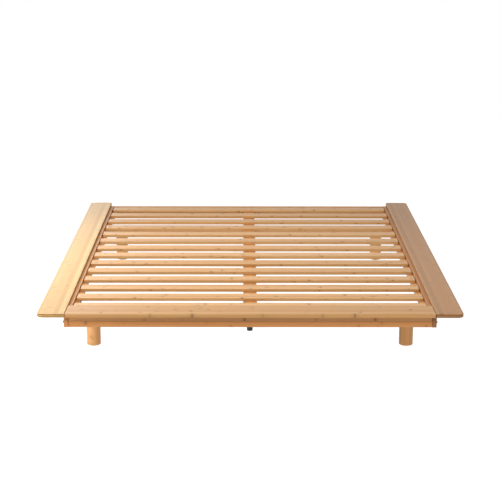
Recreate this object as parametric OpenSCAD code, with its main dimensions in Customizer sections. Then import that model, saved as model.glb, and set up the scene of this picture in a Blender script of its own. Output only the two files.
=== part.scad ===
// Low bamboo platform bed frame with a ledge on three sides, round legs set
// in under the frame, and three adjustable steel supports under a centre beam.
// X is the width, Y runs from the foot end (-Y) to the head end (+Y), and the
// floor is Z = 0. All sizes are in millimetres.

/* [Overall size] */
// Width over both side ledges
bed_w = 1772; // [1500:1:2100]
// Length from the foot edge to the head end
bed_l = 2160; // [2050:1:2300]
// Height of the ledge tops above the floor
deck_h = 240; // [225:1:330]

/* [Ledges] */
// Thickness of the ledge boards
ledge_t = 16; // [14:1:20]
// Width of each side ledge
side_ledge_w = 115; // [105:1:150]
// Depth of the foot ledge
foot_ledge_d = 127; // [120:1:150]
// Corner radius of the side ledges at the foot end
foot_corner_r = 25; // [5:1:40]
// Corner radius of the side ledges at the head end
head_corner_r = 18; // [5:1:40]
// Open joint between a side ledge and the foot ledge
seam_gap = 2; // [1:0.5:4]
// How far a side ledge bears on top of its rail
ledge_bearing = 4; // [2:1:8]

/* [Rails] */
// Thickness of the side, foot and head rails
rail_t = 18; // [16:1:24]
// Height of the rails
rail_h = 47; // [46:1:60]
// Distance from the ledge ends back to the ends of the side rails
rail_setback = 18; // [10:1:40]
// Step from the end of a side rail back to the face of the foot rail
rail_step = 4; // [0:1:10]

/* [Slats] */
// Thickness of the slats
slat_t = 14; // [12:1:16]
// Width of a slat
slat_w = 72; // [60:1:80]
// Clearance between a slat's end and the side rail
slat_end_gap = 4; // [2:1:6]
// Side of the square cleats that carry the slats
cleat_s = 20; // [18:1:24]

/* [Beams] */
// Width of the beam down the middle
centre_beam_w = 60; // [50:1:80]
// Thickness of the cross beams that carry the legs
leg_beam_t = 26; // [24:1:32]
// Width of the cross beams that carry the legs
leg_beam_w = 92; // [80:1:110]

/* [Legs] */
// Diameter of the round legs
leg_d = 61; // [50:1:70]
// Distance from the bed's ends to the leg centres
leg_inset = 335; // [250:1:400]
// Distance of the leg centres from the middle of the bed
leg_x = 687; // [600:1:700]
// Rounding of the bottom edge of a leg
leg_edge_r = 4.5; // [1:0.5:8]
// Thickness of the felt glides under the legs
glide_t = 2; // [1:0.5:4]

/* [Centre supports] */
// Outer diameter of the steel tubes
tube_d = 25; // [22:1:32]
// Wall of the steel tubes
tube_wall = 1.5; // [1:0.5:3]
// Diameter of the levelling pads
pad_d = 26.6; // [26:0.2:36]
// Height of the levelling pads
pad_h = 18; // [15:1:24]
// Travel of a levelling pad each way
pad_travel = 10; // [4:1:10]

/* [Ledge brackets] */
// Number of steel brackets under each side ledge
bracket_count = 6; // [4:1:6]
// Reach of a bracket under the ledge
bracket_reach = 92; // [80:1:95]
// Width of a bracket
bracket_w = 36; // [30:1:40]
// Height of a bracket on the rail
bracket_h = 38; // [34:1:40]
// Thickness of the bracket steel
bracket_t = 3; // [2:0.5:4]

/* [Hidden] */
$fn = 64;
bamboo = [0.83, 0.63, 0.40];
pale_bamboo = [0.88, 0.72, 0.50];
dark_bamboo = [0.74, 0.53, 0.33];
black = [0.04, 0.04, 0.04];
zinc = [0.70, 0.71, 0.72];
felt = [0.24, 0.20, 0.17];
cut = 1;         // how far a cutting solid runs past a face
fit_gap = 0.1;   // total play of a fastener in its hole
slat_count = 14;

// Heights, from the top down
ledge_z = deck_h - ledge_t;
rail_z = ledge_z - rail_h;
slat_z = ledge_z - slat_t;
cleat_z = slat_z - cleat_s;
leg_beam_z = rail_z - leg_beam_t;

// Places across the width, for the right-hand side
ledge_in = bed_w / 2 - side_ledge_w;
rail_out = ledge_in + ledge_bearing;
rail_in = rail_out - rail_t;
cleat_in = rail_in - cleat_s;
rail_x = (rail_in + rail_out) / 2;
cleat_x = cleat_in + 8;

// Places along the length, for the foot end as distances from the middle
rail_end = bed_l / 2 - rail_setback;
end_rail_out = rail_end - rail_step;
end_rail_in = end_rail_out - rail_t;
end_rail_y = (end_rail_out + end_rail_in) / 2;
leg_y = bed_l / 2 - leg_inset;
support_y = [-bed_l / 4, 0, bed_l / 4];

// Slats fill the length between the foot ledge and the head rail
first_slat_y = -bed_l / 2 + foot_ledge_d + 22 + slat_w / 2;
last_slat_y = end_rail_in - 14 - slat_w / 2;
slat_pitch = (last_slat_y - first_slat_y) / (slat_count - 1);
function slat_y(i) = first_slat_y + i * slat_pitch;
batten_w = 60;
batten_y = -bed_l / 2 + foot_ledge_d - 5 - batten_w / 2;

// Wood screws with countersunk heads
screw_d = 4;
screw_head_d = 8;
screw_head_h = 2.4;
screw_sink = 0.3;   // depth of the heads below the surface
screw_point_l = 4;
screw_point_d = 0.6;
slat_screw_l = 28;
cleat_screw_l = 31;
ledge_screw_l = 26;
batten_screws_x = [-600, -300, 300, 600];
foot_ledge_screws_x = [-690, -345, 80, 345, 690];
foot_ledge_screw_z = ledge_z + 11 - ledge_screw_l;
cleat_screw_z = cleat_z + cleat_s / 2;
cleat_screw_count = 8;
function cleat_screw_y(i) = (end_rail_in - 100) * (2 * i / (cleat_screw_count - 1) - 1);

// Pan-head screws for the steel fittings
pan_l = 13;
pan_head_d = 7.6;
pan_head_h = 2.2;
function bracket_y(i) = (bed_l / 2 - 190) * (2 * i / (bracket_count - 1) - 1);
bracket_hole_y = [-11, 11];
bracket_hole_x = [28, 72];
bracket_hole_drop = 27;

// Hexagon-head screws that hold the leg beams
lag_d = 6;
lag_l = 46;
lag_point_l = 6;
lag_head_d = 11;
lag_head_h = 4.5;
lag_recess = 8;
lag_rail_y = [-28, 28];
lag_centre_x = [-18, 18];

// Corner joint: a bolt, a barrel nut and two dowels
bolt_d = 6;
bolt_head_d = 12.4;
bolt_head_h = 5;
bolt_z = rail_z + 20.5;
bolt_tip = rail_in - 32;
barrel_d = 10;
barrel_l = 14;
barrel_x = rail_in - 25;
dowel_d = 8;
dowel_z = [rail_z + 8, rail_z + 34];
dowel_out = rail_out - 8;
dowel_l = 32;

// Hanger bolts that hold the legs
leg_bolt_d = 10;
leg_bolt_bottom = leg_beam_z - 60;
leg_bolt_top = rail_z + 9;
tee_flange_d = 28;
tee_flange_t = 1.6;
tee_barrel_d = 13;
tee_barrel_l = 12;

// Steel hangers at the ends of the centre beam
hanger_t = 2;
hanger_depth = 42;
hanger_flange_w = 24;
hanger_screw_x = centre_beam_w / 2 + hanger_flange_w / 2 + 2;
hanger_screw_z = [rail_z + 10, rail_z + 24];

// Centre supports
plate_w = 56;
plate_l = 92;
plate_t = 3;
plate_hole_x = 19;
plate_hole_y = 34;
tube_z = pad_h + pad_travel + 6;
nut_flange_t = 3;
nut_l = 26;
stem_d = 8;
stem_z = 5;
stem_l = 72;
stem_hex_d = 15;
stem_hex_t = 5;
pad_edge_r = 2.5;
pad_floor = stem_z - 0.5;

function two_digits(i) = str(i < 10 ? "0" : "", i);
SLATS = [for (i = [1 : slat_count]) str("slat_", two_digits(i))];

// ---- Helpers ----

// A board between two opposite corners
module block(lo, hi) {
    translate(lo) cube(hi - lo);
}

// A cylinder that starts at a point and runs along +X, +Y or +Z
module rod(at, axis, d, l) {
    turn = axis == "x" ? [0, 90, 0] : axis == "y" ? [-90, 0, 0] : [0, 0, 0];
    translate(at) rotate(turn) cylinder(d = d, h = l);
}

// Both halves of something that is the same left and right
module left_and_right() {
    children();
    mirror([1, 0, 0]) children();
}

// Both halves of something that is the same at the foot and the head
module foot_and_head() {
    children();
    mirror([0, 1, 0]) children();
}

// Shank of a wood screw from z = 0 down, with its point
module screw_shank(l) {
    translate([0, 0, screw_point_l - l]) cylinder(d = screw_d, h = l - screw_point_l);
    translate([0, 0, -l]) cylinder(d1 = screw_point_d, d2 = screw_d, h = screw_point_l);
}

// Countersunk screw for a surface at z = 0, its head just below that and its shank down
module countersunk_screw(l) {
    translate([0, 0, -screw_sink]) difference() {
        translate([0, 0, -screw_head_h]) union() {
            screw_shank(l - screw_sink - screw_head_h);
            cylinder(d1 = screw_d, d2 = screw_head_d, h = screw_head_h);
        }
        translate([0, 0, -1.6]) cylinder(d = 3, h = 1.6 + cut, $fn = 6);
    }
}

// Hole for that screw, a little wider
module countersunk_hole(l) {
    translate([0, 0, -l]) cylinder(d = screw_d + fit_gap, h = l + cut);
    translate([0, 0, -screw_sink]) {
        cylinder(d = screw_head_d + fit_gap, h = screw_sink + cut);
        translate([0, 0, -screw_head_h])
            cylinder(d1 = screw_d + fit_gap, d2 = screw_head_d + fit_gap, h = screw_head_h);
    }
}

// Pan-head screw, the underside of its head at z = 0 and its shank down
module pan_screw() {
    difference() {
        union() {
            screw_shank(pan_l);
            cylinder(d1 = pan_head_d, d2 = pan_head_d - 2, h = pan_head_h);
        }
        translate([0, 0, 0.8]) cylinder(d = 3, h = pan_head_h, $fn = 6);
    }
}

// Hexagon-head screw, the underside of its head at z = 0 and its shank up
module lag_screw() {
    cylinder(d = lag_d, h = lag_l - lag_point_l);
    translate([0, 0, lag_l - lag_point_l])
        cylinder(d1 = lag_d, d2 = screw_point_d, h = lag_point_l);
    translate([0, 0, -lag_head_h]) cylinder(d = lag_head_d, h = lag_head_h, $fn = 6);
}

// The sliver that rounding takes off a corner whose arc has its centre at 0, 0
module corner_sliver(r) {
    difference() {
        square(r + cut);
        circle(r);
    }
}

// ---- Ledges ----

module side_ledge_plan() {
    difference() {
        translate([ledge_in, -bed_l / 2]) square([side_ledge_w, bed_l]);
        translate([bed_w / 2 - head_corner_r, bed_l / 2 - head_corner_r])
            corner_sliver(head_corner_r);
        translate([bed_w / 2 - foot_corner_r, foot_corner_r - bed_l / 2])
            mirror([0, 1]) corner_sliver(foot_corner_r);
    }
}

// Right-hand side ledge, with pilot holes under it for the bracket screws
module side_ledge() {
    color(bamboo) difference() {
        translate([0, 0, ledge_z]) linear_extrude(ledge_t) side_ledge_plan();
        for (i = [0 : bracket_count - 1], x = bracket_hole_x, y = bracket_hole_y)
            rod([rail_out + x, bracket_y(i) + y, ledge_z - cut], "z",
                screw_d + fit_gap, pan_l - bracket_t + 0.5 + cut);
    }
}

module side_ledge_left() { mirror([1, 0, 0]) side_ledge(); }

module side_ledge_right() { side_ledge(); }

module foot_ledge() {
    half = ledge_in - seam_gap;
    color(bamboo) difference() {
        block([-half, -bed_l / 2, ledge_z], [half, foot_ledge_d - bed_l / 2, deck_h]);
        for (x = foot_ledge_screws_x)
            rod([x, -end_rail_y, ledge_z - cut], "z", screw_d + fit_gap, 11.5 + cut);
        for (x = batten_screws_x)
            rod([x, batten_y, ledge_z - cut], "z", screw_d + fit_gap, 12.5 + cut);
    }
}

// ---- Rails ----

// Right-hand side rail
module side_rail() {
    color(bamboo) difference() {
        block([rail_in, -rail_end, rail_z], [rail_out, rail_end, ledge_z]);
        foot_and_head() {
            rod([rail_in - cut, end_rail_y, bolt_z], "x", bolt_d + 0.4, rail_t + 2 * cut);
            for (z = dowel_z)
                rod([rail_in - cut, end_rail_y, z], "x", dowel_d + fit_gap,
                    dowel_out - rail_in + 0.5 + cut);
            for (y = lag_rail_y)
                rod([rail_x, leg_y + y, rail_z - cut], "z", lag_d + fit_gap,
                    lag_l - leg_beam_t + lag_recess + 0.5 + cut);
        }
        for (i = [0 : cleat_screw_count - 1])
            rod([rail_in - cut, cleat_screw_y(i), cleat_screw_z], "x",
                screw_d + fit_gap, cleat_screw_l - cleat_s + 0.5 + cut);
        for (i = [0 : bracket_count - 1], y = bracket_hole_y)
            rod([rail_out - pan_l + bracket_t - 0.5, bracket_y(i) + y,
                 ledge_z - bracket_hole_drop], "x", screw_d + fit_gap, pan_l + cut);
    }
}

module side_rail_left() { mirror([1, 0, 0]) side_rail(); }

module side_rail_right() { side_rail(); }

// Rail across the foot end, before the holes that only the foot rail has
module end_rail() {
    difference() {
        block([-rail_in, -end_rail_out, rail_z], [rail_in, -end_rail_in, ledge_z]);
        left_and_right() {
            rod([bolt_tip - 1, -end_rail_y, bolt_z], "x", bolt_d + 0.4,
                rail_in - bolt_tip + 1 + cut);
            rod([barrel_x, -end_rail_in - barrel_l - 0.5, bolt_z], "y",
                barrel_d + fit_gap, barrel_l + 0.5 + cut);
            for (z = dowel_z)
                rod([dowel_out - dowel_l - 0.5, -end_rail_y, z], "x",
                    dowel_d + fit_gap, dowel_l + cut);
            for (z = hanger_screw_z)
                rod([hanger_screw_x, -end_rail_in - pan_l + hanger_t - 0.5, z], "y",
                    screw_d + fit_gap, pan_l + cut);
        }
    }
}

module foot_rail() {
    color(bamboo) difference() {
        end_rail();
        for (x = foot_ledge_screws_x) {
            rod([x, -end_rail_y, rail_z - cut], "z", screw_head_d + 1,
                foot_ledge_screw_z - rail_z + cut);
            translate([x, -end_rail_y, foot_ledge_screw_z]) mirror([0, 0, 1])
                countersunk_hole(ledge_screw_l);
        }
    }
}

module head_rail() {
    color(bamboo) mirror([0, 1, 0]) end_rail();
}

// ---- Slats and what carries them ----

// Right-hand cleat on the inner face of the side rail
module slat_cleat() {
    color(dark_bamboo) difference() {
        block([cleat_in, -end_rail_in + 1, cleat_z], [rail_in, end_rail_in - 1, slat_z]);
        for (i = [0 : cleat_screw_count - 1])
            translate([cleat_in, cleat_screw_y(i), cleat_screw_z])
                rotate([0, -90, 0]) countersunk_hole(cleat_screw_l);
        for (i = [0 : slat_count - 1])
            rod([cleat_x, slat_y(i), slat_z + slat_t - slat_screw_l - 0.5], "z",
                screw_d + fit_gap, slat_screw_l);
    }
}

module slat_cleat_left() { mirror([1, 0, 0]) slat_cleat(); }

module slat_cleat_right() { slat_cleat(); }

// Slat number i, counted from the foot end
module slat(i) {
    half = rail_in - slat_end_gap;
    y = slat_y(i);
    color(pale_bamboo) difference() {
        block([-half, y - slat_w / 2, slat_z], [half, y + slat_w / 2, ledge_z]);
        for (x = [-cleat_x, 0, cleat_x])
            translate([x, y, ledge_z]) countersunk_hole(slat_t + cut);
    }
}

// Batten that carries the inner edge of the foot ledge
module ledge_batten() {
    half = rail_in - slat_end_gap;
    color(pale_bamboo) difference() {
        block([-half, batten_y - batten_w / 2, slat_z],
              [half, batten_y + batten_w / 2, ledge_z]);
        for (x = batten_screws_x)
            translate([x, batten_y, slat_z]) mirror([0, 0, 1])
                countersunk_hole(slat_t + cut);
    }
}

// Beam down the middle, under the slats
module centre_beam() {
    half = end_rail_in - hanger_t - 0.5;
    color(bamboo) difference() {
        block([-centre_beam_w / 2, -half, rail_z], [centre_beam_w / 2, half, slat_z]);
        for (i = [0 : slat_count - 1])
            rod([0, slat_y(i), slat_z + slat_t - slat_screw_l - 0.5], "z",
                screw_d + fit_gap, slat_screw_l);
        for (x = lag_centre_x) foot_and_head()
            rod([x, leg_y, rail_z - cut], "z", lag_d + fit_gap,
                lag_l - leg_beam_t + lag_recess + 0.5 + cut);
        for (y = support_y, dx = [-1, 1], dy = [-1, 1])
            rod([dx * plate_hole_x, y + dy * plate_hole_y, rail_z - cut], "z",
                screw_d + fit_gap, pan_l - plate_t + 0.5 + cut);
        foot_and_head()
            rod([0, end_rail_in - hanger_depth / 2, rail_z - cut], "z",
                screw_d + fit_gap, pan_l - hanger_t + 0.5 + cut);
    }
}

// Steel hanger for the foot end of the centre beam
module beam_hanger() {
    w = centre_beam_w / 2 + 0.3;
    ear_h = slat_z - rail_z - 3;
    translate([0, -end_rail_in, rail_z]) difference() {
        union() {
            block([-w - hanger_t, 0, -hanger_t], [w + hanger_t, hanger_depth, 0]);
            left_and_right() {
                block([w, 0, -hanger_t], [w + hanger_t, hanger_depth, ear_h]);
                block([w, 0, 0], [w + hanger_flange_w, hanger_t, ear_h]);
            }
        }
        for (side = [-1, 1], z = hanger_screw_z)
            rod([side * hanger_screw_x, -cut, z - rail_z], "y",
                screw_d + 0.4, hanger_t + 2 * cut);
        rod([0, hanger_depth / 2, -hanger_t - cut], "z", screw_d + 0.4, hanger_t + 2 * cut);
    }
}

module beam_hangers() {
    color(black) foot_and_head() beam_hanger();
}

// ---- Legs and their beams ----

// Cross beam at the foot end
module leg_beam() {
    half = rail_out;
    color(bamboo) difference() {
        block([-half, -leg_y - leg_beam_w / 2, leg_beam_z],
              [half, -leg_y + leg_beam_w / 2, rail_z]);
        left_and_right() {
            rod([leg_x, -leg_y, leg_beam_z - cut], "z", leg_bolt_d + 0.4,
                leg_beam_t + 2 * cut);
            rod([leg_x, -leg_y, rail_z - tee_barrel_l - 0.5], "z",
                tee_barrel_d + fit_gap, tee_barrel_l + 0.5 + cut);
            for (y = lag_rail_y) lag_hole(rail_x, y - leg_y);
        }
        for (x = lag_centre_x) lag_hole(x, -leg_y);
    }
}

// Recessed hole through a leg beam for one hexagon-head screw
module lag_hole(x, y) {
    rod([x, y, leg_beam_z - cut], "z", lag_d + 0.4, leg_beam_t + 2 * cut);
    rod([x, y, leg_beam_z - cut], "z", lag_head_d + 2, lag_recess + cut);
}

module leg_beam_front() { leg_beam(); }

module leg_beam_rear() { mirror([0, 1, 0]) leg_beam(); }

// Round leg with a rounded bottom edge and a blind hole for its hanger bolt
module leg(x, y) {
    r = leg_d / 2;
    h = leg_beam_z - glide_t;
    color(bamboo) translate([x, y, glide_t]) difference() {
        rotate_extrude() union() {
            square([r - leg_edge_r, h]);
            translate([0, leg_edge_r]) square([r, h - leg_edge_r]);
            translate([r - leg_edge_r, leg_edge_r]) circle(leg_edge_r);
        }
        rod([0, 0, leg_bolt_bottom - glide_t - 2], "z", leg_bolt_d + fit_gap, h);
    }
}

module leg_front_left() { leg(-leg_x, -leg_y); }

module leg_front_right() { leg(leg_x, -leg_y); }

module leg_rear_left() { leg(-leg_x, leg_y); }

module leg_rear_right() { leg(leg_x, leg_y); }

module leg_glides() {
    color(felt) left_and_right() foot_and_head()
        rod([leg_x, leg_y, 0], "z", leg_d - 4 * leg_edge_r, glide_t);
}

module leg_hanger_bolts() {
    color(zinc) left_and_right() foot_and_head()
        rod([leg_x, leg_y, leg_bolt_bottom], "z", leg_bolt_d, leg_bolt_top - leg_bolt_bottom);
}

module leg_tee_nuts() {
    color(zinc) left_and_right() foot_and_head()
        translate([leg_x, leg_y, rail_z]) difference() {
            union() {
                cylinder(d = tee_flange_d, h = tee_flange_t);
                translate([0, 0, -tee_barrel_l])
                    cylinder(d = tee_barrel_d, h = tee_barrel_l + tee_flange_t);
            }
            rod([0, 0, -tee_barrel_l - cut], "z", leg_bolt_d + fit_gap, tee_barrel_l + 4);
        }
}

// ---- Ledge brackets ----

// Angle bracket with a gusset, on the right-hand rail at y = 0
module ledge_bracket() {
    translate([rail_out, 0, ledge_z]) difference() {
        union() {
            block([0, -bracket_w / 2, -bracket_t], [bracket_reach, bracket_w / 2, 0]);
            block([0, -bracket_w / 2, -bracket_h], [bracket_t, bracket_w / 2, 0]);
            rotate([90, 0, 0]) translate([0, 0, -bracket_t / 2]) linear_extrude(bracket_t)
                polygon([[0, 0], [bracket_reach - 14, 0], [bracket_reach - 14, -bracket_t],
                         [bracket_t, 2 - bracket_h], [0, 2 - bracket_h]]);
        }
        for (x = bracket_hole_x, y = bracket_hole_y)
            rod([x, y, -bracket_t - cut], "z", screw_d + 0.4, bracket_t + 2 * cut);
        for (y = bracket_hole_y)
            rod([-cut, y, -bracket_hole_drop], "x", screw_d + 0.4, bracket_t + 2 * cut);
    }
}

module ledge_bracket_row() {
    color(black) for (i = [0 : bracket_count - 1])
        translate([0, bracket_y(i), 0]) ledge_bracket();
}

module ledge_brackets_left() { mirror([1, 0, 0]) ledge_bracket_row(); }

module ledge_brackets_right() { ledge_bracket_row(); }

// ---- Fasteners ----

module bracket_screws() {
    color(zinc) left_and_right() for (i = [0 : bracket_count - 1], y = bracket_hole_y) {
        for (x = bracket_hole_x)
            translate([rail_out + x, bracket_y(i) + y, ledge_z - bracket_t])
                mirror([0, 0, 1]) pan_screw();
        translate([rail_out + bracket_t, bracket_y(i) + y, ledge_z - bracket_hole_drop])
            rotate([0, 90, 0]) pan_screw();
    }
}

// Button-head bolt through the side rail into the end of the foot rail
module corner_bolt() {
    dome_r = (bolt_head_h ^ 2 + (bolt_head_d / 2) ^ 2) / (2 * bolt_head_h);
    rod([bolt_tip, end_rail_y, bolt_z], "x", bolt_d, rail_out - bolt_tip);
    translate([rail_out, end_rail_y, bolt_z]) rotate([0, 90, 0]) difference() {
        intersection() {
            translate([0, 0, bolt_head_h - dome_r]) sphere(dome_r);
            cylinder(d = 2 * bolt_head_d, h = bolt_head_h + cut);
        }
        translate([0, 0, bolt_head_h - 2.6]) cylinder(d = 4.6, h = 4, $fn = 6);
    }
}

module corner_bolts() {
    color(black) left_and_right() foot_and_head() corner_bolt();
}

module barrel_nuts() {
    color(zinc) left_and_right() foot_and_head() difference() {
        rod([barrel_x, end_rail_in, bolt_z], "y", barrel_d, barrel_l);
        rod([barrel_x - barrel_d, end_rail_y, bolt_z], "x", bolt_d + fit_gap, 2 * barrel_d);
    }
}

module corner_dowels() {
    color(pale_bamboo) left_and_right() foot_and_head() for (z = dowel_z)
        rod([dowel_out - dowel_l, end_rail_y, z], "x", dowel_d, dowel_l);
}

module leg_beam_screws() {
    color(zinc) foot_and_head() {
        left_and_right() for (y = lag_rail_y)
            translate([rail_x, leg_y + y, leg_beam_z + lag_recess]) lag_screw();
        for (x = lag_centre_x)
            translate([x, leg_y, leg_beam_z + lag_recess]) lag_screw();
    }
}

module cleat_screws() {
    color(zinc) left_and_right() for (i = [0 : cleat_screw_count - 1])
        translate([cleat_in, cleat_screw_y(i), cleat_screw_z])
            rotate([0, -90, 0]) countersunk_screw(cleat_screw_l);
}

module slat_screws() {
    color(zinc) for (i = [0 : slat_count - 1], x = [-cleat_x, 0, cleat_x])
        translate([x, slat_y(i), ledge_z]) countersunk_screw(slat_screw_l);
}

// Screws up into the foot ledge, through its batten and through the foot rail
module foot_ledge_screws() {
    color(zinc) {
        for (x = foot_ledge_screws_x)
            translate([x, -end_rail_y, foot_ledge_screw_z]) mirror([0, 0, 1])
                countersunk_screw(ledge_screw_l);
        for (x = batten_screws_x)
            translate([x, batten_y, slat_z]) mirror([0, 0, 1])
                countersunk_screw(ledge_screw_l);
    }
}

module hanger_screws() {
    color(zinc) foot_and_head() {
        for (side = [-1, 1], z = hanger_screw_z)
            translate([side * hanger_screw_x, -end_rail_in + hanger_t, z])
                rotate([-90, 0, 0]) pan_screw();
        translate([0, -end_rail_in + hanger_depth / 2, rail_z - hanger_t])
            mirror([0, 0, 1]) pan_screw();
    }
}

// ---- Centre supports ----

// Steel tube with a screw plate welded to its top
module centre_leg(y) {
    color(black) translate([0, y, 0]) difference() {
        union() {
            rod([0, 0, tube_z], "z", tube_d, rail_z - tube_z);
            block([-plate_w / 2, -plate_l / 2, rail_z - plate_t],
                  [plate_w / 2, plate_l / 2, rail_z]);
        }
        rod([0, 0, tube_z - cut], "z", tube_d - 2 * tube_wall,
            rail_z - plate_t - tube_z + cut);
        for (dx = [-1, 1], dy = [-1, 1])
            rod([dx * plate_hole_x, dy * plate_hole_y, rail_z - plate_t - cut], "z",
                screw_d + 0.4, plate_t + 2 * cut);
    }
}

module centre_leg_front() { centre_leg(support_y[0]); }

module centre_leg_middle() { centre_leg(support_y[1]); }

module centre_leg_rear() { centre_leg(support_y[2]); }

module centre_leg_screws() {
    color(zinc) for (y = support_y, dx = [-1, 1], dy = [-1, 1])
        translate([dx * plate_hole_x, y + dy * plate_hole_y, rail_z - plate_t])
            mirror([0, 0, 1]) pan_screw();
}

// Threaded plugs in the bottom ends of the tubes
module levelling_nuts() {
    color(zinc) for (y = support_y) translate([0, y, tube_z]) difference() {
        union() {
            cylinder(d = tube_d - 2 * tube_wall - fit_gap, h = nut_l);
            translate([0, 0, -nut_flange_t]) cylinder(d = tube_d, h = nut_flange_t);
        }
        rod([0, 0, -nut_flange_t - cut], "z", stem_d + fit_gap, nut_l + nut_flange_t + 2 * cut);
    }
}

// Pad that stands on the floor, hollow on top around the stem's hexagon
module levelling_pad(y) {
    r = pad_d / 2;
    color(black) translate([0, y, 0]) difference() {
        rotate_extrude() union() {
            square([r - pad_edge_r, pad_h]);
            translate([0, pad_edge_r]) square([r, pad_h - pad_edge_r]);
            translate([r - pad_edge_r, pad_edge_r]) circle(pad_edge_r);
        }
        rod([0, 0, pad_floor], "z", stem_d + fit_gap, pad_h);
        rod([0, 0, stem_z + 4], "z", stem_hex_d + 2, pad_h);
    }
}

module levelling_pad_front() { levelling_pad(support_y[0]); }

module levelling_pad_middle() { levelling_pad(support_y[1]); }

module levelling_pad_rear() { levelling_pad(support_y[2]); }

// Threaded stem with the hexagon that turns it
module levelling_stem(y) {
    color(zinc) translate([0, y, 0]) {
        rod([0, 0, stem_z], "z", stem_d, stem_l);
        translate([0, 0, stem_z + 5]) cylinder(d = stem_hex_d, h = stem_hex_t, $fn = 6);
    }
}

module levelling_stem_front() { levelling_stem(support_y[0]); }

module levelling_stem_middle() { levelling_stem(support_y[1]); }

module levelling_stem_rear() { levelling_stem(support_y[2]); }

// ---- Nodes ----

foot_ledge();
side_ledge_left();
side_ledge_right();
side_rail_left();
side_rail_right();
foot_rail();
head_rail();
ledge_batten();
slat_cleat_left();
slat_cleat_right();
centre_beam();
leg_beam_front();
leg_beam_rear();
for (i = [0 : slat_count - 1]) slat(i);
leg_front_left();
leg_front_right();
leg_rear_left();
leg_rear_right();
leg_glides();
leg_hanger_bolts();
leg_tee_nuts();
ledge_brackets_left();
ledge_brackets_right();
bracket_screws();
corner_bolts();
barrel_nuts();
corner_dowels();
leg_beam_screws();
cleat_screws();
slat_screws();
foot_ledge_screws();
beam_hangers();
hanger_screws();
centre_leg_front();
centre_leg_middle();
centre_leg_rear();
centre_leg_screws();
levelling_nuts();
levelling_pad_front();
levelling_pad_middle();
levelling_pad_rear();
levelling_stem_front();
levelling_stem_middle();
levelling_stem_rear();
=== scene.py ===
"""Low bamboo platform bed frame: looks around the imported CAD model.

Every length is in metres, in the frame of the CAD model: X across the bed, Y from the
foot end to the head end, Z up, and the floor at zero.
"""

import math

import bmesh
import bpy
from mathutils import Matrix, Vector


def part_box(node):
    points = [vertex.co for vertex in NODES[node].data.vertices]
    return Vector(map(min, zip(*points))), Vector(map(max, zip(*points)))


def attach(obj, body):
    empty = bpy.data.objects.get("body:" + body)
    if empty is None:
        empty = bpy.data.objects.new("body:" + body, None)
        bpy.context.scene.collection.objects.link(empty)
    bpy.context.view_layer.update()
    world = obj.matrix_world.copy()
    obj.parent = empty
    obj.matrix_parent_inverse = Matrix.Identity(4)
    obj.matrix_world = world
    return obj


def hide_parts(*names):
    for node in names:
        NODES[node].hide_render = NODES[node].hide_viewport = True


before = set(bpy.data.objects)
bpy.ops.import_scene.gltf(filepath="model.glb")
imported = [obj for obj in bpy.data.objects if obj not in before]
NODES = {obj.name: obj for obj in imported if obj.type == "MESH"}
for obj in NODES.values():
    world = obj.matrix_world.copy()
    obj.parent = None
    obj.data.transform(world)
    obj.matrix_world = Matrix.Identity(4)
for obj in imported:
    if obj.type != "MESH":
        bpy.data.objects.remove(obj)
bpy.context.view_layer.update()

MM = 0.001
SIDES = ("left", "right")
ENDS = ("front", "rear")
SUPPORTS = ("front", "middle", "rear")
SLATS = sorted(name for name in NODES if name.startswith(("slat_0", "slat_1")))


# ---- Node helpers ----


def add(tree, kind, inputs=None, **settings):
    """Adds a node. Each input is a value, or the socket that feeds it."""
    made = tree.nodes.new(kind)
    for name, value in settings.items():
        setattr(made, name, value)
    for key, value in (inputs or {}).items():
        if isinstance(value, bpy.types.NodeSocket):
            tree.links.new(value, made.inputs[key])
        else:
            made.inputs[key].default_value = value
    return made


def calc(tree, operation, *values, clamp=False):
    """One Math node's result."""
    inputs = dict(enumerate(values))
    return add(tree, "ShaderNodeMath", inputs, operation=operation, use_clamp=clamp).outputs[0]


def ramp(tree, value, low, high, start=0.0, end=1.0):
    """Goes smoothly from start to end while value goes from low to high."""
    inputs = {"Value": value, "From Min": low, "From Max": high, "To Min": start, "To Max": end}
    return add(tree, "ShaderNodeMapRange", inputs, interpolation_type="SMOOTHSTEP").outputs[0]


def vector(tree, x, y, z):
    return add(tree, "ShaderNodeCombineXYZ", {0: x, 1: y, 2: z}).outputs[0]


def mix_number(tree, factor, a, b):
    return add(tree, "ShaderNodeMix", {0: factor, 2: a, 3: b}).outputs[0]


def mix_colour(tree, factor, a, b, blend="MIX"):
    inputs = {0: factor, 6: a, 7: b}
    return add(tree, "ShaderNodeMix", inputs, data_type="RGBA", blend_type=blend).outputs[2]


def noise(tree, at, scale, detail=2.0, rough=0.5):
    inputs = {"Vector": at, "Scale": scale, "Detail": detail, "Roughness": rough}
    return add(tree, "ShaderNodeTexNoise", inputs).outputs[0]


def colour(red, green, blue):
    return (red, green, blue, 1.0)


def new_group(name, inputs, outputs):
    """A shader node group with these sockets. Returns its tree, its input node and its output node."""
    tree = bpy.data.node_groups.new(name, "ShaderNodeTree")
    for socket, kind in inputs:
        tree.interface.new_socket(socket, in_out="INPUT", socket_type=kind)
    for socket, kind in outputs:
        tree.interface.new_socket(socket, in_out="OUTPUT", socket_type=kind)
    return tree, tree.nodes.new("NodeGroupInput"), tree.nodes.new("NodeGroupOutput")


def new_material(name, **shader_values):
    """A material with only a Principled shader. Returns the material, its tree and the shader."""
    material = bpy.data.materials.new(name)
    material.use_nodes = True
    tree = material.node_tree
    tree.nodes.clear()
    shader = add(tree, "ShaderNodeBsdfPrincipled")
    for socket, value in shader_values.items():
        shader.inputs[socket.replace("_", " ")].default_value = value
    output = add(tree, "ShaderNodeOutputMaterial")
    tree.links.new(shader.outputs[0], output.inputs[0])
    return material, tree, shader


# ---- Bamboo ----

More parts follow.
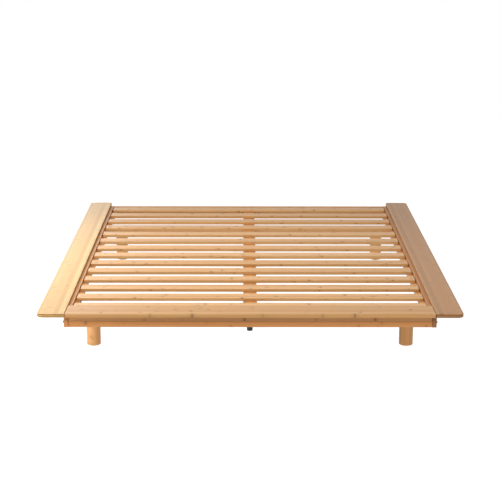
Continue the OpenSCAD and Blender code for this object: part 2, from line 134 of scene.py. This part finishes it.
PALE = colour(0.64, 0.325, 0.125)
DEEP = colour(0.485, 0.222, 0.072)
AMBER = colour(0.53, 0.215, 0.052)
# The knuckles' brown, also used for the painted shade beside the side rails' ends
KNUCKLE_AND_SEAM_SHADE = colour(0.20, 0.085, 0.028)
END_GRAIN = colour(0.80, 0.72, 0.64)
KNUCKLE_STEP = 0.18
KNUCKLE_WANDER = 6 * MM
FIBRES_PER_M = 620.0
DRIFTS_PER_M = 90.0
BUNDLES_PER_M = 900.0
BUNDLE_SQUASH = 0.02
FIRST_STRIP = 0.37
# How far the painted shade beside a side rail's ends reaches, solid and then fading
SEAM_SHADE_CORE = 1.2 * MM
SEAM_SHADE_WIDTH = 2.6 * MM
BAMBOO_INPUTS = (
    "Along",
    "Across",
    "Deep",
    "Facing Along",
    "Facing Across",
    "Strip",
    "Ply",
    "Crossed",
    "Seed",
    "End Dark",
    "Knuckles",
)


def streaks(tree, point, start, stretch, per_m, detail, rough):
    """Noise drawn out along the fibres. point is along, across and through them."""
    u, v, deep = point
    at = vector(
        tree,
        calc(tree, "MULTIPLY_ADD", u, stretch, start),
        calc(tree, "MULTIPLY", v, per_m),
        calc(tree, "MULTIPLY", deep, per_m),
    )
    return noise(tree, at, 1.0, detail, rough)


def knuckle_marks(tree, u, start, strip_id, fine, knuckles):
    """The dark line of each knuckle and the halo round it. There is about one knuckle every
    KNUCKLE_STEP along a strip, each in its own place and of its own strength."""
    cells = calc(tree, "MULTIPLY_ADD", u, 1.0 / KNUCKLE_STEP, start)
    cell_id = {"Vector": strip_id, "W": calc(tree, "FLOOR", cells)}
    cell_seed = add(tree, "ShaderNodeTexWhiteNoise", cell_id, noise_dimensions="4D")
    jitter, strength = add(tree, "ShaderNodeSeparateColor", {0: cell_seed.outputs[1]}).outputs[:2]
    middle = calc(tree, "MULTIPLY_ADD", jitter, 0.6, 0.2)
    from_middle = calc(tree, "SUBTRACT", calc(tree, "FRACT", cells), middle)
    wander = calc(tree, "MULTIPLY", calc(tree, "SUBTRACT", fine, 0.5), KNUCKLE_WANDER)
    reach = calc(tree, "ABSOLUTE", calc(tree, "MULTIPLY_ADD", from_middle, KNUCKLE_STEP, wander))
    strength = calc(tree, "MULTIPLY", calc(tree, "POWER", strength, 3.0), knuckles)
    line = calc(tree, "MULTIPLY", ramp(tree, reach, 1.5 * MM, 6.5 * MM, 1.0, 0.0), strength)
    halo = calc(tree, "MULTIPLY", ramp(tree, reach, 3 * MM, 22 * MM, 1.0, 0.0), strength)
    return line, halo


def glue_lines(tree, strips, strip_w, plies, ply_t):
    """Thin lines where one strip or ply meets the next."""
    side = calc(tree, "MULTIPLY", calc(tree, "PINGPONG", strips, 0.5), strip_w)
    face = calc(tree, "MULTIPLY", calc(tree, "PINGPONG", plies, 0.5), ply_t)
    return ramp(tree, calc(tree, "MINIMUM", side, face), 0.1 * MM, 0.55 * MM, 1.0, 0.0)


def bundle_dots(tree, point, ended):
    """Dark dots of the fibre bundles, on the faces where the fibres end."""
    u, v, deep = point
    at = vector(tree, calc(tree, "MULTIPLY", u, BUNDLE_SQUASH), v, deep)
    cells = add(tree, "ShaderNodeTexVoronoi", {"Vector": at, "Scale": BUNDLES_PER_M}).outputs[0]
    return calc(tree, "MULTIPLY", ramp(tree, cells, 0.15, 0.55, 1.0, 0.0), ended)


def darken(tree, base, amount, share):
    """Mixes the knuckles' brown into a colour: amount varies over the surface, share doesn't."""
    return mix_colour(tree, calc(tree, "MULTIPLY", amount, share), base, KNUCKLE_AND_SEAM_SHADE)


def bamboo_group():
    """Laminated bamboo as a solid pattern: strips beside and on each other, each with its own
    tone, fibres and knuckles, glue lines between them, and bundle dots where the fibres end."""
    tree, given, result = new_group(
        "laminated_bamboo",
        [(name, "NodeSocketFloat") for name in BAMBOO_INPUTS],
        [
            ("Color", "NodeSocketColor"),
            ("Roughness", "NodeSocketFloat"),
            ("Normal", "NodeSocketVector"),
        ],
    )
    along, across, deep, facing_along, facing_across = given.outputs[:5]
    strip_w, ply_t, crossed, seed, end_dark, knuckles = given.outputs[5:11]

    # A crossed ply has its fibres across the board
    plies = calc(tree, "DIVIDE", deep, ply_t)
    ply = calc(tree, "FLOOR", plies)
    turned = calc(tree, "MULTIPLY", crossed, calc(tree, "FLOORED_MODULO", ply, 2.0))
    u = mix_number(tree, turned, along, across)
    v = mix_number(tree, turned, across, along)
    facing = mix_number(tree, turned, facing_along, facing_across)
    point = (u, v, deep)

    strips = calc(tree, "DIVIDE", v, strip_w)
    strip_id = vector(tree, calc(tree, "FLOOR", strips), ply, seed)
    strip_seed = add(tree, "ShaderNodeTexWhiteNoise", {0: strip_id})
    tone, amber, shift = add(tree, "ShaderNodeSeparateColor", {0: strip_seed.outputs[1]}).outputs[:3]
    start = calc(tree, "MULTIPLY", shift, 40.0)

    # Fine fibres, and slower drifts of tone inside a strip
    fine = streaks(tree, point, start, 7.0, FIBRES_PER_M, 3.0, 0.6)
    broad = streaks(tree, point, start, 2.2, DRIFTS_PER_M, 2.0, 0.5)
    line, halo = knuckle_marks(tree, u, start, strip_id, fine, knuckles)
    glue = glue_lines(tree, strips, strip_w, plies, ply_t)
    ended = ramp(tree, calc(tree, "ABSOLUTE", facing), 0.55, 0.9)
    dots = bundle_dots(tree, point, ended)

    shade = calc(tree, "MULTIPLY_ADD", tone, 0.55, calc(tree, "MULTIPLY", fine, 0.62))
    shade = calc(tree, "MULTIPLY_ADD", broad, 0.55, shade)
    body = mix_colour(tree, ramp(tree, shade, 0.35, 1.35), PALE, DEEP)
    body = mix_colour(tree, calc(tree, "MULTIPLY", calc(tree, "POWER", amber, 3.0), 0.55), body, AMBER)
    body = darken(tree, body, halo, 0.22)
    body = darken(tree, body, line, 0.75)
    body = darken(tree, body, glue, 0.22)
    body = mix_colour(tree, ended, body, mix_colour(tree, 1.0, body, END_GRAIN, "MULTIPLY"))
    body = darken(tree, body, ended, end_dark)
    body = darken(tree, body, dots, 0.45)

    rough = calc(tree, "MULTIPLY_ADD", fine, 0.14, 0.36)
    rough = calc(tree, "MULTIPLY_ADD", ended, 0.16, rough)
    height = calc(tree, "SUBTRACT", fine, calc(tree, "MULTIPLY", glue, 0.8))
    height = calc(tree, "MULTIPLY_ADD", line, -0.6, height)
    height = calc(tree, "MULTIPLY_ADD", dots, -0.8, height)
    bump = add(tree, "ShaderNodeBump", {"Strength": 0.22, "Distance": 0.25 * MM, "Height": height})

    tree.links.new(body, result.inputs["Color"])
    tree.links.new(rough, result.inputs["Roughness"])
    tree.links.new(bump.outputs[0], result.inputs["Normal"])
    return tree


def spare_ply(thickness, ply):
    """How far the outermost plies are planed down, on each side of a board."""
    return (math.ceil(thickness / ply) * ply - thickness) / 2


def paint_seam_shade(tree, base, place, node):
    """Painted shade: darkens the left and right rims of a side rail's ends, next to the seams."""
    low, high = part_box(node)
    at_x = add(tree, "ShaderNodeSeparateXYZ", {0: place.outputs["Object"]}).outputs[0]
    facing = add(tree, "ShaderNodeSeparateXYZ", {0: place.outputs["Normal"]}).outputs[1]
    from_low = calc(tree, "SUBTRACT", at_x, low[0])
    from_high = calc(tree, "SUBTRACT", high[0], at_x)
    shaded_rim = ramp(tree, calc(tree, "MINIMUM", from_low, from_high), SEAM_SHADE_CORE, SEAM_SHADE_WIDTH, 0.85, 0.0)
    ended = ramp(tree, calc(tree, "ABSOLUTE", facing), 0.2, 0.5)
    return mix_colour(tree, calc(tree, "MULTIPLY", shaded_rim, ended), base, KNUCKLE_AND_SEAM_SHADE)


def clad(node, axes, strip, ply, seed, tint=None, crossed=0.0, end_dark=0.0, knuckles=1.0, shade_seams=False):
    """Gives one board a bamboo of its own. axes gives the directions along the fibres, across
    the strips and through the plies, such as "xyz". crossed turns every second ply, end_dark
    darkens the faces where the fibres end, knuckles is how strong the knuckle marks are, and
    shade_seams paints shade on the rims of a side rail's ends, beside the seams."""
    material, tree, shader = new_material(
        f"bamboo_{node}", Coat_Weight=0.03, Coat_Roughness=0.3, Specular_IOR_Level=0.2
    )
    along, across, through = ("xyz".index(axis) for axis in axes)
    place = add(tree, "ShaderNodeTexCoord")
    low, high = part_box(node)
    low[across] -= FIRST_STRIP * strip
    low[through] -= spare_ply(high[through] - low[through], ply)
    inputs = {0: place.outputs["Object"], 1: low}
    moved = add(tree, "ShaderNodeVectorMath", inputs, operation="SUBTRACT")
    at = add(tree, "ShaderNodeSeparateXYZ", {0: moved.outputs[0]})
    facing = add(tree, "ShaderNodeSeparateXYZ", {0: place.outputs["Normal"]})
    settings = {
        "Along": at.outputs[along],
        "Across": at.outputs[across],
        "Deep": at.outputs[through],
        "Facing Along": facing.outputs[along],
        "Facing Across": facing.outputs[across],
        "Strip": strip,
        "Ply": ply,
        "Crossed": crossed,
        "Seed": seed,
        "End Dark": end_dark,
        "Knuckles": knuckles,
    }
    pattern = add(tree, "ShaderNodeGroup", settings, node_tree=BAMBOO)
    base = pattern.outputs["Color"]
    if tint:
        base = mix_colour(tree, 1.0, base, tint, "MULTIPLY")
    # Painted shade on the rims of a side rail's ends, beside the seams
    if shade_seams:
        base = paint_seam_shade(tree, base, place, node)
    tree.links.new(base, shader.inputs["Base Color"])
    tree.links.new(pattern.outputs["Roughness"], shader.inputs["Roughness"])
    tree.links.new(pattern.outputs["Normal"], shader.inputs["Normal"])
    paint(node, material)


BAMBOO = bamboo_group()


# ---- Metal, plastic and felt ----


def object_place(tree):
    return add(tree, "ShaderNodeTexCoord").outputs["Object"]


def powder_coat():
    """Black powder coat with its fine orange peel."""
    material, tree, shader = new_material("black_powder_coat", Specular_IOR_Level=0.45)
    at = object_place(tree)
    peel = noise(tree, at, 900.0, detail=1.0)
    cloud = noise(tree, at, 18.0)
    base = mix_colour(tree, cloud, colour(0.010, 0.010, 0.011), colour(0.018, 0.018, 0.019))
    rough = calc(tree, "MULTIPLY_ADD", peel, 0.22, 0.34)
    bump = add(tree, "ShaderNodeBump", {"Strength": 0.35, "Distance": 0.15 * MM, "Height": peel})
    tree.links.new(base, shader.inputs["Base Color"])
    tree.links.new(rough, shader.inputs["Roughness"])
    tree.links.new(bump.outputs[0], shader.inputs["Normal"])
    return material


def zinc():
    """Bright zinc plate, a little cloudy, with fine scratches."""
    material, tree, shader = new_material("zinc_plate", Metallic=1.0)
    at = object_place(tree)
    cloud = noise(tree, at, 140.0, detail=4.0)
    grain = noise(tree, at, 2600.0, detail=1.0)
    base = mix_colour(tree, cloud, colour(0.46, 0.47, 0.49), colour(0.66, 0.66, 0.63))
    rough = calc(tree, "MULTIPLY_ADD", cloud, 0.28, 0.16)
    bump = add(tree, "ShaderNodeBump", {"Strength": 0.15, "Distance": 0.05 * MM, "Height": grain})
    tree.links.new(base, shader.inputs["Base Color"])
    tree.links.new(rough, shader.inputs["Roughness"])
    tree.links.new(bump.outputs[0], shader.inputs["Normal"])
    return material


def plastic():
    """Black plastic with a spark-eroded grain."""
    material, tree, shader = new_material("black_plastic", Specular_IOR_Level=0.4)
    at = object_place(tree)
    grain = add(tree, "ShaderNodeTexVoronoi", {"Vector": at, "Scale": 1500.0}).outputs[0]
    cloud = noise(tree, at, 60.0)
    base = mix_colour(tree, cloud, colour(0.009, 0.009, 0.009), colour(0.016, 0.016, 0.016))
    rough = calc(tree, "MULTIPLY_ADD", grain, 0.2, 0.42)
    bump = add(tree, "ShaderNodeBump", {"Strength": 0.4, "Distance": 0.12 * MM, "Height": grain})
    tree.links.new(base, shader.inputs["Base Color"])
    tree.links.new(rough, shader.inputs["Roughness"])
    tree.links.new(bump.outputs[0], shader.inputs["Normal"])
    return material


def felt():
    """Pressed brown felt with loose fibres."""
    material, tree, shader = new_material("pressed_felt", Roughness=0.95, Sheen_Weight=0.4)
    at = object_place(tree)
    stretched = add(tree, "ShaderNodeMapping", {0: at, "Scale": (1.0, 1.0, 2.5)}).outputs[0]
    fibres = noise(tree, stretched, 1400.0, detail=3.0, rough=0.7)
    mottle = noise(tree, at, 300.0)
    blend = calc(tree, "MULTIPLY_ADD", fibres, 0.7, calc(tree, "MULTIPLY", mottle, 0.3))
    base = mix_colour(tree, blend, colour(0.030, 0.021, 0.015), colour(0.095, 0.072, 0.055))
    bump = add(tree, "ShaderNodeBump", {"Strength": 0.8, "Distance": 0.4 * MM, "Height": fibres})
    tree.links.new(base, shader.inputs["Base Color"])
    tree.links.new(bump.outputs[0], shader.inputs["Normal"])
    return material


# ---- Eased edges ----

SAME_POINT = 0.01 * MM
SHARP = math.radians(20)
FLAT = math.radians(0.5)
BOLD_MARGIN = 0.02
EVERYWHERE = 10.0


def easing_group():
    """Geometry nodes that join a CAD mesh's split corners and weight its outer edges for a
    Bevel modifier. An edge counts if it is sharp and both its ends lie on two sides of the
    mesh's box, or within Reach of them, so that screw holes stay as they are."""
    tree = bpy.data.node_groups.new("eased_edges", "GeometryNodeTree")
    for socket, kind in (
        ("Geometry", "NodeSocketGeometry"),
        ("Reach", "NodeSocketFloat"),
        ("Bold Edge", "NodeSocketVector"),
        ("Fine Weight", "NodeSocketFloat"),
    ):
        tree.interface.new_socket(socket, in_out="INPUT", socket_type=kind)
    tree.interface.new_socket("Geometry", in_out="OUTPUT", socket_type="NodeSocketGeometry")
    given = tree.nodes.new("NodeGroupInput")
    result = tree.nodes.new("NodeGroupOutput")

    bare = add(tree, "GeometryNodeRemoveAttribute", {0: given.outputs[0], "Name": "custom_normal"})
    joined = add(tree, "GeometryNodeMergeByDistance", {0: bare.outputs[0], "Distance": SAME_POINT})
    box = add(tree, "GeometryNodeBoundBox", {0: joined.outputs[0]})
    here = add(tree, "GeometryNodeInputPosition").outputs[0]

    def per_axis(operation, a, b):
        return add(tree, "ShaderNodeVectorMath", {0: a, 1: b}, operation=operation).outputs[0]

    size = per_axis("SUBTRACT", box.outputs["Max"], box.outputs["Min"])
    from_low = per_axis("SUBTRACT", here, box.outputs["Min"])
    from_high = per_axis("SUBTRACT", box.outputs["Max"], here)
    nearest = add(tree, "ShaderNodeSeparateXYZ", {0: per_axis("MINIMUM", from_low, from_high)})
    sides = None
    for axis in range(3):
        near = calc(tree, "LESS_THAN", nearest.outputs[axis], given.outputs["Reach"])
        sides = near if sides is None else calc(tree, "ADD", sides, near)
    on_edge = calc(tree, "GREATER_THAN", sides, 1.5)

    # The same point as fractions of the box, from -1 to 1, tells which edge it is on
    doubled = per_axis("DIVIDE", per_axis("SUBTRACT", from_low, from_high), size)
    bold = given.outputs["Bold Edge"]
    share = add(tree, "ShaderNodeVectorMath", {0: doubled, 1: bold}, operation="DOT_PRODUCT")
    full = add(tree, "ShaderNodeVectorMath", {0: bold, 1: bold}, operation="DOT_PRODUCT")
    wanted = calc(tree, "SUBTRACT", full.outputs["Value"], BOLD_MARGIN)
    is_bold = calc(tree, "GREATER_THAN", share.outputs["Value"], wanted)
    weight = mix_number(tree, is_bold, given.outputs["Fine Weight"], 1.0)

    ends = add(tree, "GeometryNodeInputMeshEdgeVertices")

    def at_both_ends(value):
        found = []
        for socket in ("Vertex Index 1", "Vertex Index 2"):
            inputs = {"Index": ends.outputs[socket], "Value": value}
            found.append(add(tree, "GeometryNodeFieldAtIndex", inputs, domain="POINT").outputs[0])
        return calc(tree, "MINIMUM", *found)

    angle = add(tree, "GeometryNodeInputMeshEdgeAngle").outputs[0]
    sharp = calc(tree, "GREATER_THAN", angle, SHARP)
    chosen = calc(tree, "MULTIPLY", at_both_ends(on_edge), sharp)
    final = calc(tree, "MULTIPLY", chosen, at_both_ends(weight))
    stored = add(
        tree,
        "GeometryNodeStoreNamedAttribute",
        {0: joined.outputs[0], "Name": "bevel_weight_edge", "Value": final},
        data_type="FLOAT",
        domain="EDGE",
    )
    tree.links.new(stored.outputs[0], result.inputs[0])
    return tree


def ease_edges(node, width, reach=SAME_POINT, bold_edge=(0, 0, 0), bold_width=None, segments=3):
    """Rounds the outer edges of a board by width, and the one that bold_edge points at, such as
    (0, -1, 1) for the low-Y high-Z edge, by bold_width."""
    widest = bold_width or width
    piece = NODES[node]
    marks = piece.modifiers.new("outer_edges", "NODES")
    marks.node_group = EASING
    names = {item.name: item.identifier for item in EASING.interface.items_tree}
    marks[names["Reach"]] = reach
    marks[names["Bold Edge"]] = bold_edge if bold_width else (9.0, 9.0, 9.0)
    marks[names["Fine Weight"]] = width / widest
    whole = piece.modifiers.new("whole_faces", "DECIMATE")
    whole.decimate_type = "DISSOLVE"
    whole.angle_limit = FLAT
    bevel = piece.modifiers.new("eased_edges", "BEVEL")
    bevel.limit_method = "WEIGHT"
    bevel.width = widest
    bevel.segments = segments
    bevel.use_clamp_overlap = False
    normals = piece.modifiers.new("flat_faces", "WEIGHTED_NORMAL")
    normals.keep_sharp = False
    normals.weight = 100


EASING = easing_group()


# ---- Dress the frame ----

# The left side ledge and side rail are tinted lighter and the right ones darker: painted light
# and painted shade, standing in for the light from the left and the bedding's shadow, which isn't
# modelled
FOOT_TINT = colour(0.9, 1.0, 1.0)
LEDGE_LIGHT_AND_SHADE_TINTS = {"left": colour(1.05, 1.34, 1.33), "right": colour(0.68, 0.69, 0.68)}
LEDGE_END_DARK = {"left": 0.75, "right": 0.5}
RAIL_TINT = colour(0.95, 0.91, 0.84)
SIDE_RAIL_LIGHT_AND_SHADE_TINTS = {"left": colour(1.2, 1.18, 1.2), "right": colour(0.72, 0.66, 0.62)}
SLAT_TINT = colour(1.08, 1.22, 1.3)
LEG_TINT = colour(1.3, 1.4, 1.48)
RAIL_STRIP = 15.7 * MM
RAIL_PLY = 6 * MM
SMALL_EASE = 1.5 * MM
BOARD_EASE = 2 * MM
LEDGE_EASE = 2.5 * MM
LEDGE_CORNER_REACH = 8 * MM
FOOT_NOSING = 5 * MM
STEEL_EASE = 0.3 * MM
NUT_EASE = 0.5 * MM
PAD_EASE = 0.8 * MM


def paint(node, material):
    """Puts one material on the whole of a CAD node."""
    mesh = NODES[node].data
    mesh.materials.clear()
    mesh.materials.append(material)


def dress_ledges():
    clad("foot_ledge", "xyz", 21 * MM, 20 * MM, 3, FOOT_TINT)
    ease_edges("foot_ledge", BOARD_EASE, bold_edge=(0, -1, 1), bold_width=FOOT_NOSING, segments=4)
    for seed, side in enumerate(SIDES, start=11):
        node = f"side_ledge_{side}"
        dark = LEDGE_END_DARK[side]
        # Painted light on the left ledge and painted shade on the right one
        tint = LEDGE_LIGHT_AND_SHADE_TINTS[side]
        clad(node, "yxz", 19 * MM, 6 * MM, seed, tint, crossed=1.0, end_dark=dark, knuckles=0.5)
        ease_edges(node, LEDGE_EASE, reach=LEDGE_CORNER_REACH)


def dress_rails():
    for seed, side in enumerate(SIDES, start=31):
        node = f"side_rail_{side}"
        # Painted light on the left rail and painted shade on the right one
        # The rims of the rail's ends get painted shade beside the seams
        clad(node, "yzx", RAIL_STRIP, RAIL_PLY, seed, SIDE_RAIL_LIGHT_AND_SHADE_TINTS[side], shade_seams=True)
        ease_edges(node, SMALL_EASE)
    rails = {
        "foot_rail": "xzy",
        "head_rail": "xzy",
        "centre_beam": "yxz",
        "leg_beam_front": "xyz",
        "leg_beam_rear": "xyz",
    }
    for seed, (node, axes) in enumerate(rails.items(), start=33):
        clad(node, axes, RAIL_STRIP, RAIL_PLY, seed, RAIL_TINT)
        ease_edges(node, SMALL_EASE)


def dress_slats():
    for seed, node in enumerate(SLATS, start=51):
        clad(node, "xyz", 24 * MM, 7 * MM, seed, SLAT_TINT)
        ease_edges(node, BOARD_EASE)
    clad("ledge_batten", "xyz", 20 * MM, 7 * MM, 71)
    ease_edges("ledge_batten", SMALL_EASE)
    for seed, side in enumerate(SIDES, start=73):
        node = f"slat_cleat_{side}"
        clad(node, "yzx", 20 * MM, 10 * MM, seed)
        ease_edges(node, SMALL_EASE)
    clad("corner_dowels", "xyz", 8 * MM, 8 * MM, 77)


def dress_legs():
    legs = [f"leg_{end}_{side}" for end in ENDS for side in SIDES]
    for seed, node in enumerate(legs, start=81):
        clad(node, "zxy", 9 * MM, 80 * MM, seed, LEG_TINT)


def dress_hardware(zinc_plate):
    finishes = {
        powder_coat(): ["ledge_brackets_left", "ledge_brackets_right", "corner_bolts", "beam_hangers"]
        + [f"centre_leg_{place}" for place in SUPPORTS],
        zinc_plate: ["leg_hanger_bolts", "leg_tee_nuts", "bracket_screws", "barrel_nuts"]
        + ["leg_beam_screws", "cleat_screws", "slat_screws", "foot_ledge_screws"]
        + ["hanger_screws", "centre_leg_screws", "levelling_nuts"],
        plastic(): [f"levelling_pad_{place}" for place in SUPPORTS],
        felt(): ["leg_glides"],
    }
    for material, nodes in finishes.items():
        for node in nodes:
            paint(node, material)


def soften_hardware():
    """Takes the razor edge off pressed steel and moulded parts."""
    pressed = ["ledge_brackets_left", "ledge_brackets_right", "beam_hangers", "leg_tee_nuts"]
    pressed += [f"centre_leg_{place}" for place in SUPPORTS]
    for node in pressed:
        ease_edges(node, STEEL_EASE, reach=EVERYWHERE, segments=2)
    for node in ["levelling_nuts", "barrel_nuts", "leg_glides"]:
        ease_edges(node, NUT_EASE, reach=EVERYWHERE, segments=2)
    for place in SUPPORTS:
        ease_edges(f"levelling_pad_{place}", PAD_EASE, reach=EVERYWHERE)


# ---- Threaded levelling stems ----

STEM_RADIUS = 4 * MM
STEM_SIDES = 30
THREAD_PITCH = 1.25 * MM
THREAD_DEPTH = 0.7 * MM
RINGS_PER_TURN = 5
HEX_LOW = 5 * MM
HEX_HEIGHT = 5 * MM
HEX_CORNER = 7.5 * MM
HEX_CHAMFER = 0.6 * MM
NECK_CUT = 0.4 * MM
STEM_SHARP = math.radians(35)


def thread_radius(angle, z, length):
    """Radius of the M8 thread, with flat crests and roots, that runs out at the stem's end."""
    phase = (z / THREAD_PITCH - angle / math.tau) % 1.0
    crest = min(1.0, max(0.0, 1.6 * (1.0 - abs(2.0 * phase - 1.0)) - 0.3))
    run_out = min(1.0, (length - z) / THREAD_PITCH)
    return STEM_RADIUS - THREAD_DEPTH * (1.0 - crest * run_out)


def hex_radius(angle, most):
    """Radius of the hexagon at an angle, cut to a circle where its corners are chamfered."""
    from_flat = (angle + math.pi / 6) % (math.pi / 3) - math.pi / 6
    apothem = HEX_CORNER * math.cos(math.pi / 6)
    return min(most, apothem / math.cos(abs(from_flat) - math.pi / 6))


def stem_rings(length):
    """Heights above the stem's foot, each with the radius as a function of the angle."""
    neck = STEM_RADIUS - NECK_CUT
    across_flats = HEX_CORNER * math.cos(math.pi / 6)
    hex_high = HEX_LOW + HEX_HEIGHT
    rings = [(0.0, lambda angle: neck - HEX_CHAMFER), (HEX_CHAMFER, lambda angle: neck)]
    rings.append((HEX_LOW, lambda angle: neck))
    rings.append((HEX_LOW, lambda angle: hex_radius(angle, across_flats)))
    rings.append((HEX_LOW + HEX_CHAMFER, lambda angle: hex_radius(angle, HEX_CORNER)))
    rings.append((hex_high - HEX_CHAMFER, lambda angle: hex_radius(angle, HEX_CORNER)))
    rings.append((hex_high, lambda angle: hex_radius(angle, across_flats)))
    count = int((length - hex_high) / THREAD_PITCH * RINGS_PER_TURN)
    for index in range(count + 1):
        z = hex_high + index * (length - hex_high) / count
        rings.append((z, lambda angle, z=z: thread_radius(angle, z, length)))
    return rings


def threaded_stem(place, material):
    """A levelling stem with a real thread, in the place of the plain CAD one."""
    node = f"levelling_stem_{place}"
    low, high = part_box(node)
    middle = (low + high) / 2
    mesh = bpy.data.meshes.new(f"threaded_stem_{place}")
    shape = bmesh.new()
    angles = [math.tau * side / STEM_SIDES for side in range(STEM_SIDES)]
    below = None
    for z, radius in stem_rings(high.z - low.z):
        ring = []
        for angle in angles:
            x = middle.x + radius(angle) * math.cos(angle)
            y = middle.y + radius(angle) * math.sin(angle)
            ring.append(shape.verts.new((x, y, low.z + z)))
        if below is None:
            shape.faces.new(reversed(ring))
        else:
            for side in range(STEM_SIDES):
                after = (side + 1) % STEM_SIDES
                shape.faces.new((below[side], below[after], ring[after], ring[side]))
        below = ring
    shape.faces.new(below)
    shape.to_mesh(mesh)
    shape.free()
    mesh.shade_smooth()
    mesh.set_sharp_from_angle(angle=STEM_SHARP)
    mesh.materials.append(material)
    stem = bpy.data.objects.new(mesh.name, mesh)
    bpy.context.scene.collection.objects.link(stem)
    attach(stem, node)
    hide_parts(node)


# ---- Stage, light and camera ----

FLOOR_HALF = 60.0
FLOOR_GREY = 0.35
FLOOR_GLOW = 0.96
BACKDROP_GLOW = 1.2
SKY_GLOW = 0.12
GROUND_GLOW = 0.6
KEY_POWER = 36.0
FRONT_POWER = 117.0
WINDOW_POWER = 46.0
FILL_POWER = 36.0
CARD_POWER = 0.5
WHITE = (1.0, 1.0, 1.0)
WARM = (1.0, 0.97, 0.92)
CAMERA_PLACE = (-0.0267, -6.625, 1.9254)
CAMERA_ANGLES = (75.721, -0.12, -0.2236)
CAMERA_LENS = 100.8
CAMERA_SENSOR = 36.0
CAMERA_REACH = 300.0


def stage_piece(name, mesh, grey, glow):
    """A glowing white piece of the set, which the camera sees but which neither lights nor
    shades the bed."""
    piece = bpy.data.objects.new(name, mesh)
    bpy.context.scene.collection.objects.link(piece)
    material, _, _ = new_material(
        f"white_{name}",
        Base_Color=colour(grey, grey, grey),
        Roughness=1.0,
        Specular_IOR_Level=0.0,
        Emission_Color=colour(*WHITE),
        Emission_Strength=glow,
    )
    mesh.materials.append(material)
    piece.visible_diffuse = False
    piece.visible_shadow = False


def make_floor():
    mesh = bpy.data.meshes.new("floor")
    corners = [(x * FLOOR_HALF, y * FLOOR_HALF, 0.0) for x, y in ((-1, -1), (1, -1), (1, 1), (-1, 1))]
    mesh.from_pydata(corners, [], [(0, 1, 2, 3)])
    stage_piece("floor", mesh, FLOOR_GREY, FLOOR_GLOW)


def make_backdrop():
    """A white dome round everything, for the views that look over the floor's edge."""
    mesh = bpy.data.meshes.new("backdrop")
    shape = bmesh.new()
    bmesh.ops.create_uvsphere(shape, u_segments=48, v_segments=24, radius=FLOOR_HALF)
    shape.to_mesh(mesh)
    shape.free()
    stage_piece("backdrop", mesh, 0.0, BACKDROP_GLOW)


def make_world():
    """The studio round the bed: a faint glow above, and a stronger one below that stands for
    the light off the ground, because the floor object lights nothing."""
    world = bpy.data.worlds.new("studio")
    world.use_nodes = True
    tree = world.node_tree
    way = add(tree, "ShaderNodeSeparateXYZ", {0: add(tree, "ShaderNodeTexCoord").outputs["Generated"]})
    glow = ramp(tree, way.outputs[2], -0.1, 0.1, GROUND_GLOW, SKY_GLOW)
    tree.links.new(glow, tree.nodes["Background"].inputs["Strength"])
    tree.nodes["Background"].inputs["Color"].default_value = colour(*WHITE)
    bpy.context.scene.world = world


def soft_box(name, place, target, size, power, tint=WHITE, spread=180):
    """A soft box that looks at target. size is across and along it, and spread is the opening
    of its honeycomb in degrees."""
    light = bpy.data.lights.new(name, "AREA")
    light.shape = "RECTANGLE"
    light.size, light.size_y = size
    light.energy = power
    light.color = tint
    light.spread = math.radians(spread)
    lamp = bpy.data.objects.new(name, light)
    lamp.location = place
    aim = Vector(target) - Vector(place)
    lamp.rotation_euler = aim.to_track_quat("-Z", "Y").to_euler()
    lamp.visible_camera = False
    bpy.context.scene.collection.objects.link(lamp)


def make_lights():
    soft_box("key", (-1.9, -0.15, 1.7), (-0.75, -0.2, 0.24), (1.0, 4.0), KEY_POWER, WARM, 120)
    soft_box("front", (-0.7, -3.6, 3.3), (0.0, -1.0, 0.2), (0.6, 0.6), FRONT_POWER, WARM)
    soft_box("window", (-2.6, 5.0, 1.6), (-0.8, 0.0, 0.24), (3.0, 2.0), WINDOW_POWER)
    soft_box("fill", (2.4, -4.6, 0.5), (0.4, -1.0, 0.1), (2.0, 0.7), FILL_POWER, WARM)
    soft_box("card", (-1.5, -1.45, 0.14), (-0.69, -0.745, 0.08), (0.4, 0.25), CARD_POWER, WARM, 40)
    bpy.context.scene.view_settings.view_transform = "Standard"


def make_camera():
    lens = bpy.data.cameras.new("camera")
    lens.lens = CAMERA_LENS
    lens.sensor_width = CAMERA_SENSOR
    lens.clip_end = CAMERA_REACH
    camera = bpy.data.objects.new("camera", lens)
    camera.location = CAMERA_PLACE
    camera.rotation_euler = [math.radians(angle) for angle in CAMERA_ANGLES]
    bpy.context.scene.collection.objects.link(camera)
    bpy.context.scene.camera = camera


dress_ledges()
dress_rails()
dress_slats()
dress_legs()
zinc_plate = zinc()
dress_hardware(zinc_plate)
soften_hardware()
for place in SUPPORTS:
    threaded_stem(place, zinc_plate)
make_floor()
make_backdrop()
make_world()
make_lights()
make_camera()
